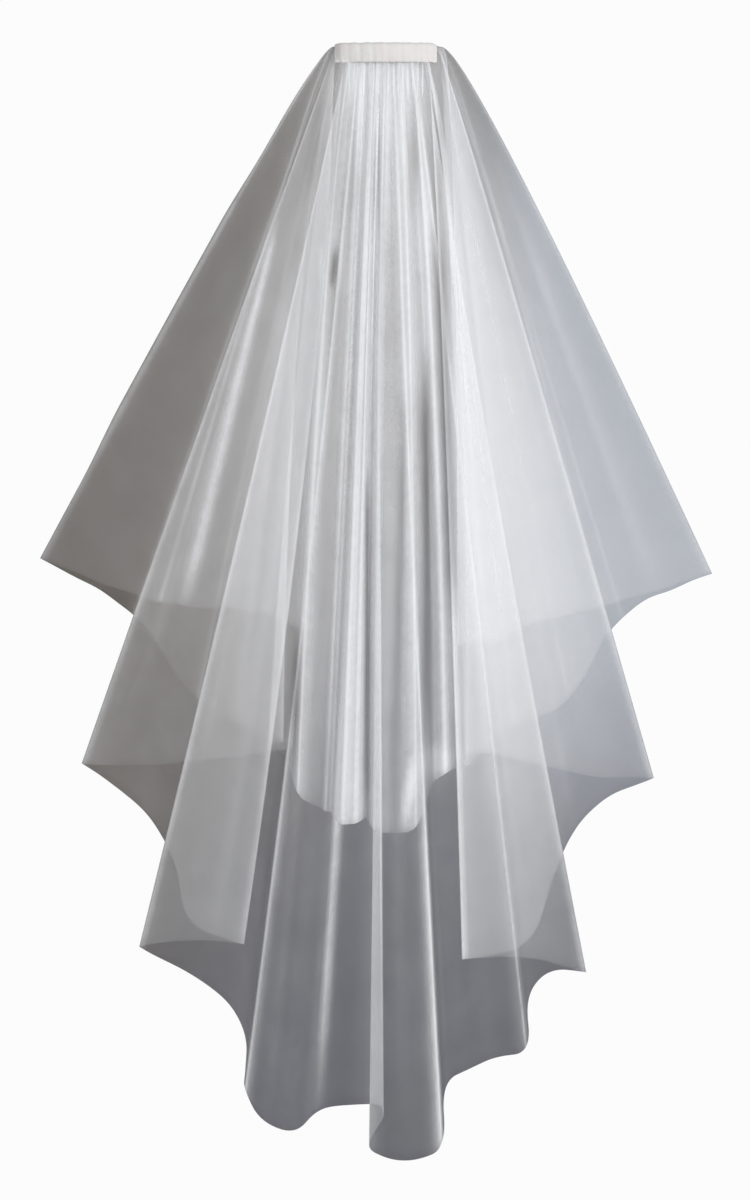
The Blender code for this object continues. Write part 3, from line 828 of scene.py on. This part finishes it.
def makeComb():
    recipe = Recipe("combRecipe", {
        name: value if name == "teeth" else value * mm for name, value in comb.items()
    })
    node, size = recipe.node, recipe.size
    half = size("width") * 0.5
    middle = size("barHeight") * 0.5
    barLine = node("GeometryNodeCurvePrimitiveLine", {}, {
        "Start": recipe.point(-1 * half, 0.0, middle), "End": recipe.point(half, 0.0, middle),
    })
    barLine = node("GeometryNodeResampleCurve", {}, {"Curve": barLine, "Count": 49})
    barShape = node("GeometryNodeCurvePrimitiveQuadrilateral", {}, {
        "Width": size("thickness"), "Height": size("barHeight"),
    })
    barShape = node("GeometryNodeFilletCurve", {"mode": "POLY"}, {
        "Curve": barShape, "Radius": size("edgeRadius"), "Count": 3,
    })
    bar = node("GeometryNodeCurveToMesh", {}, {
        "Curve": barLine, "Profile Curve": barShape, "Fill Caps": True,
    })

    toothLine = node("GeometryNodeCurvePrimitiveLine", {}, {
        "Start": recipe.point(0.0, 0.0, size("edgeRadius")),
        "End": recipe.point(0.0, 0.0, -1 * size("toothLength")),
    })
    toothLine = node("GeometryNodeResampleCurve", {}, {"Curve": toothLine, "Count": 19})
    down = node("GeometryNodeSplineParameter", output="Factor")
    taper = 1 - (1 - size("tipWidth") / size("toothWidth")) * down**2
    tip = (1 - down**14) ** 0.5
    roundShape = node("GeometryNodeCurvePrimitiveCircle", {}, {
        "Resolution": 10, "Radius": size("toothWidth") * 0.5,
    })
    tooth = node("GeometryNodeCurveToMesh", {}, {
        "Curve": toothLine, "Profile Curve": roundShape, "Scale": taper * tip.atLeast(0.3),
        "Fill Caps": True,
    })

    edge = (size("width") - size("toothWidth")) * 0.5
    pitch = edge * 2 / (size("teeth") - 1)
    roots = node("GeometryNodeMeshLine", {}, {
        "Count": size("teeth"), "Start Location": recipe.point(-1 * edge), "Offset": recipe.point(pitch),
    })
    teeth = node("GeometryNodeInstanceOnPoints", {}, {"Points": roots, "Instance": tooth})
    teeth = node("GeometryNodeRealizeInstances", {}, {"Geometry": teeth})
    joined = recipe.tree.nodes.new("GeometryNodeJoinGeometry")
    for part in (bar, teeth):
        recipe.tree.links.new(part.socket, joined.inputs[0])
    x, z = recipe.position("X"), recipe.position("Z")
    arc = size("arcRadius") - (size("arcRadius") ** 2 - x * x) ** 0.5
    back = size("sweep") * (-1 * z / size("toothLength")).atLeast(0.0) ** 2
    bent = node("GeometryNodeSetPosition", {}, {
        "Geometry": Wire(recipe, joined.outputs[0]), "Offset": recipe.point(0.0, arc + back, 0.0),
    })
    smooth = node("GeometryNodeSetShadeSmooth", {}, {"Geometry": bent})
    obj = recipe.make("clearComb", smooth, plasticPaint("clearPlastic"))
    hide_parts("comb")
    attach(obj, "root")
    return obj


# Clear moulded plastic: glossy, faintly milky, with fine moulding marks.
def plasticPaint(name):
    paint = newPaint(name)
    place = paint.node("ShaderNodeTexCoord", output="Object")
    milk = paint.node("ShaderNodeTexNoise", {}, {"Vector": place, "Scale": 180.0, "Detail": 3.0})
    marks = paint.node("ShaderNodeTexNoise", {}, {"Vector": place, "Scale": 900.0, "Detail": 1.0})
    bump = paint.node("ShaderNodeBump", {}, {"Strength": 0.08, "Distance": 0.0001, "Height": marks})
    return paint.surface(
        Base_Color=(0.90, 0.91, 0.92, 1.0), Roughness=0.14 + milk * 0.12, Alpha=0.45 + milk * 0.25,
        Normal=bump, Specular_IOR_Level=0.6, Coat_Weight=0.3, Coat_Roughness=0.08,
    )


# Stitches: slanted overhand stitches of white thread along the front and back hems of the heading, in mm.
stitches = {
    "run": 78.0,
    "spacing": 3.1,
    "threadRadius": 0.17,
    "height": 1.2,
    "slant": 0.45,
    "outside": 0.4,  # how far they stand off the strip's middle
    "jitter": 0.16,  # radians
    "seed": 7,
}


def makeStitches(name, depth, hem, turn, material):
    sizes = {key: value * mm for key, value in stitches.items() if key not in ("outside", "jitter", "seed")}
    recipe = Recipe(name + "Recipe", {
        **sizes, "jitter": stitches["jitter"], "turn": turn, "depth": depth * mm, "hem": hem * mm,
        "arcRadius": hanging["combRadius"] * mm, "seed": stitches["seed"],
    })
    node, size = recipe.node, recipe.size
    half = size("run") * 0.5
    line = node("GeometryNodeCurvePrimitiveLine", {}, {
        "Start": recipe.point(-1 * half), "End": recipe.point(half),
    })
    line = node("GeometryNodeResampleCurve", {"mode": "LENGTH"}, {"Curve": line, "Length": size("spacing")})
    x = recipe.position("X")
    arc = size("arcRadius") - (size("arcRadius") ** 2 - x * x) ** 0.5
    line = node("GeometryNodeSetPosition", {}, {
        "Geometry": line, "Position": recipe.point(x, arc + size("depth"), size("hem")),
    })
    tall, slant, thick = size("height"), size("slant"), size("threadRadius")
    bend = node("GeometryNodeCurveQuadraticBezier", {}, {
        "Resolution": 8,
        "Start": recipe.point(-1 * slant, thick * 3, -0.7 * tall),
        "Middle": recipe.point(0.0, -2.4 * thick, 0.1 * tall),
        "End": recipe.point(slant, thick * 1.5, tall),
    })
    roundShape = node("GeometryNodeCurvePrimitiveCircle", {}, {"Resolution": 6, "Radius": thick})
    stitch = node("GeometryNodeCurveToMesh", {}, {
        "Curve": bend, "Profile Curve": roundShape, "Fill Caps": True,
    })
    jitter = size("jitter")
    turned = node("FunctionNodeRandomValue", {"data_type": "FLOAT_VECTOR"}, {
        0: recipe.point(-0.3 * jitter, -1 * jitter, size("turn") - jitter),
        1: recipe.point(0.3 * jitter, jitter, size("turn") + jitter),
        "Seed": size("seed"),
    })
    turned = node("FunctionNodeEulerToRotation", {}, [turned])
    placed = node("GeometryNodeInstanceOnPoints", {}, {
        "Points": line, "Instance": stitch, "Rotation": turned,
    })
    placed = node("GeometryNodeRealizeInstances", {}, {"Geometry": placed})
    smooth = node("GeometryNodeSetShadeSmooth", {}, {"Geometry": placed})
    obj = recipe.make(name, smooth, material)
    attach(obj, "root")
    return obj


def threadPaint(name):
    paint = newPaint(name)
    place = paint.node("ShaderNodeTexCoord", output="Object")
    twist = paint.node("ShaderNodeTexNoise", {}, {"Vector": place, "Scale": 2500.0, "Detail": 1.0})
    bump = paint.node("ShaderNodeBump", {}, {"Strength": 0.3, "Distance": 0.0001, "Height": twist})
    colour = paint.mixColour(twist, (0.80, 0.77, 0.76, 1.0), (0.90, 0.88, 0.87, 1.0))
    return paint.surface(Base_Color=colour, Roughness=0.5 + twist * 0.2, Normal=bump, Sheen_Weight=0.2)


makeHeading()
makeComb()
whiteThread = threadPaint("whiteThread")
frontDepth = heading["front"][0] + heading["lean"] - stitches["outside"]
backDepth = heading["back"][0] + stitches["outside"]
makeStitches("frontStitches", frontDepth, heading["frontHem"], 0.0, whiteThread)
makeStitches("backStitches", backDepth, heading["backHem"], math.pi, whiteThread)


# Stage: pale floor under the hanging veil, pale surroundings, soft lights. A dark wall shows through a
# real veil's net, so what is seen through cloth is toned down here, less so at the upper right.
stage = {
    "floorDrop": -1.3,
    "floorRadius": 1.6,
    "floor": (0.8, 0.8, 0.8, 1.0),
    "pale": (0.97, 0.97, 0.97, 1.0),
    "wallWarm": (0.106, 0.088, 0.074, 1.0),
    "wallCool": (0.080, 0.080, 0.104, 1.0),
    # painted light on the wall at the upper right, as if lit from the right
    "wallPaintedLight": (0.345, 0.375, 0.42, 1.0),
    "wallShade": (0.06, 0.06, 0.06, 1.0),  # of its soft clouds
    "wallTurn": (-0.15, 0.15),  # metres towards the lower right, where it turns from warm to cool
    "wallCloud": 0.09,  # metres
    "wallRight": (0.045, 0.165),  # metres right of the middle, where it starts and ends to lighten
    "wallUp": (-0.33, 0.02),  # the same in metres above the middle
    "ambient": 0.30,
    "background": 1.0,
}

lights = [
    # name, place, size in metres, power in watts
    ("keyRight", (2.4, -2.6, 0.6), 1.6, 66),
    ("fillLeft", (-2.4, -2.8, 0.2), 2.2, 22),
    ("rimBack", (0.8, 2.6, 0.9), 1.6, 30),
]


# 1 for a camera ray that has passed through net, otherwise 0.
def throughNetShare(paint):
    cameraRay = paint.node("ShaderNodeLightPath", output="Is Camera Ray")
    layers = paint.node("ShaderNodeLightPath", output="Transparent Depth")
    return cameraRay * layers.atMost(1.0)


# The wall's colour, by direction: warm at the left, cool at the lower right, with painted light at the upper
# right.
def wallTone(paint):
    direction = paint.node("ShaderNodeTexCoord", output="Generated")
    x, y, z = (paint.node("ShaderNodeSeparateXYZ", {}, [direction], output=axis) for axis in "XYZ")
    far = camera["distance"]
    left, right = (place / far for place in stage["wallRight"])
    low, high = (place / far for place in stage["wallUp"])
    # Painted light: the wall turns lighter towards the upper right.
    lit = paint.ramp(x, left, right) * paint.ramp(z, low, high) * paint.ramp(y, 0.9, 0.95)
    warm, cool = (place / far for place in stage["wallTurn"])
    dark = paint.mixColour(paint.ramp(x - z * 0.6, warm, cool), stage["wallWarm"], stage["wallCool"])
    cloud = paint.node("ShaderNodeTexNoise", {}, {
        "Vector": direction, "Scale": far / stage["wallCloud"], "Detail": 2.0,
    })
    clouded = paint.mixColour(cloud * 0.5, dark, stage["wallShade"])
    return paint.mixColour(lit, clouded, stage["wallPaintedLight"])


def makeStage():
    world = bpy.data.worlds.new("paleRoom")
    bpy.context.scene.world = world
    paint = Paint(world)
    cameraRay = paint.node("ShaderNodeLightPath", output="Is Camera Ray")
    seen = paint.mixColour(throughNetShare(paint), stage["pale"], wallTone(paint))
    strength = stage["ambient"] + cameraRay * (stage["background"] - stage["ambient"])
    shader = paint.node("ShaderNodeBackground", {}, {"Color": seen, "Strength": strength})
    paint.node("ShaderNodeOutputWorld", {}, {"Surface": shader})

    bpy.ops.mesh.primitive_circle_add(
        vertices=96, radius=stage["floorRadius"], fill_type="NGON", location=(0, 0, stage["floorDrop"]),
    )
    floor = bpy.context.object
    floor.name = "floor"
    floorPaint = newPaint("paleFloor")
    floorColour = floorPaint.mixColour(throughNetShare(floorPaint), stage["floor"], stage["wallCool"])
    floor.data.materials.append(floorPaint.surface(Base_Color=floorColour, Roughness=0.8))

    for name, place, size, power in lights:
        data = bpy.data.lights.new(name, "AREA")
        data.size = size
        data.energy = power
        obj = bpy.data.objects.new(name, data)
        obj.location = place
        aim = Vector((0, 0, -0.45)) - Vector(place)
        obj.rotation_euler = aim.to_track_quat("-Z", "Y").to_euler()
        bpy.context.scene.collection.objects.link(obj)

    scene = bpy.context.scene
    scene.view_settings.view_transform = "Standard"
    scene.cycles.transparent_max_bounces = 64
    print("stage set")


makeStage()
